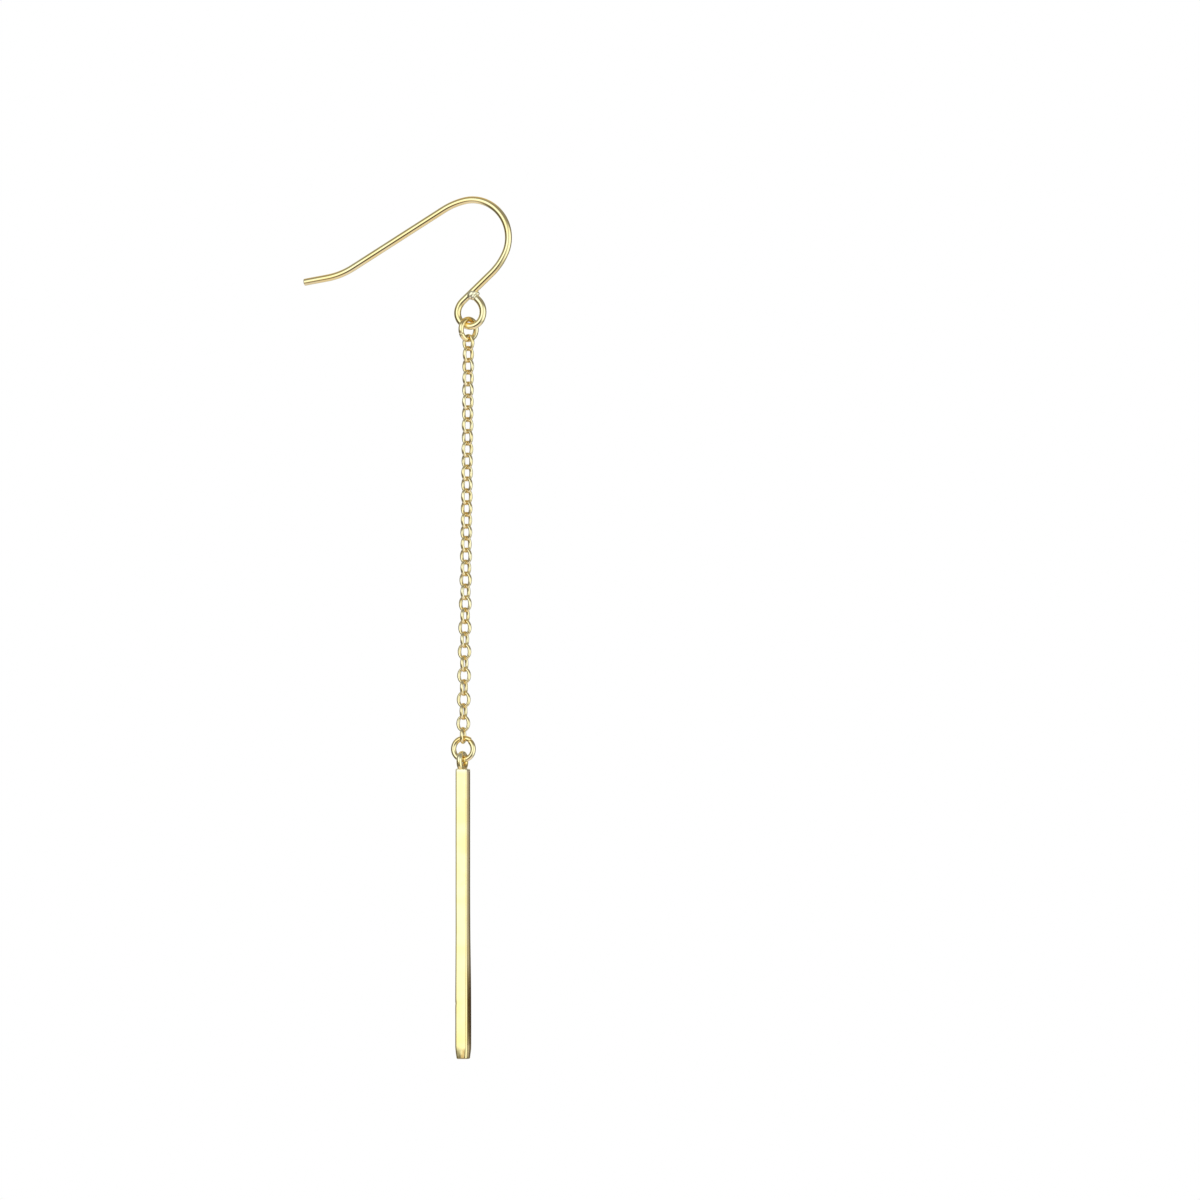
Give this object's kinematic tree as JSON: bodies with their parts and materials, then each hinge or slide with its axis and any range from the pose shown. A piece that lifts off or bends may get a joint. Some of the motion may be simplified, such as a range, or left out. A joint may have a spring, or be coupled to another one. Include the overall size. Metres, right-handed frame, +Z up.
{
  "type": "bar earring",
  "caption": "Drop earring: a bent French hook, a fine cable chain between two jump rings, and a slim square bar hanging from a soldered eye.",
  "frame": {"origin": "where the earring hangs in the ear: the underside of the wire at the crest of the hook", "axes": "+Z up; the hook lies in the XZ plane with its tip towards -X, and the chain and bar hang down -Z"},
  "size_m": [0.023, 0.0024, 0.0906],
  "materials": {
    "ear_wire": "polished pale gold plate on drawn wire",
    "jump_rings": "polished pale gold plate on drawn wire",
    "chain": "polished pale gold plate",
    "bar": "polished pale gold plate on square rod"
  },
  "bodies": {
    "hook_and_chain": {"ear_wire": "ear_wire", "upper_ring": "jump_rings", "link_01": "chain", "link_02": "chain", "link_03": "chain", "link_04": "chain", "link_05": "chain", "link_06": "chain", "link_07": "chain", "link_08": "chain", "link_09": "chain", "link_10": "chain", "link_11": "chain", "link_12": "chain", "link_13": "chain", "link_14": "chain", "link_15": "chain", "link_16": "chain", "link_17": "chain", "link_18": "chain", "link_19": "chain", "link_20": "chain", "link_21": "chain", "link_22": "chain", "link_23": "chain", "link_24": "chain", "link_25": "chain", "link_26": "chain", "link_27": "chain", "link_28": "chain", "link_29": "chain", "link_30": "chain", "link_31": "chain", "link_32": "chain", "link_33": "chain", "link_34": "chain"},
    "lower_ring": {"lower_ring": "jump_rings"},
    "bar": {"bar": "bar"}
  },
  "joints": [
    {"name": "ring_turn", "type": "hinge", "parent": "hook_and_chain", "child": "lower_ring", "pos_m": [-0.00101, 0, -0.05731], "axis": [0.0698, 0.9976, 0], "range_deg": [-60, 60]},
    {"name": "bar_swing", "type": "hinge", "parent": "lower_ring", "child": "bar", "pos_m": [-0.00101, 0, -0.05842], "axis": [0.9976, -0.0698, 0], "range_deg": [-80, 80]}
  ]
}
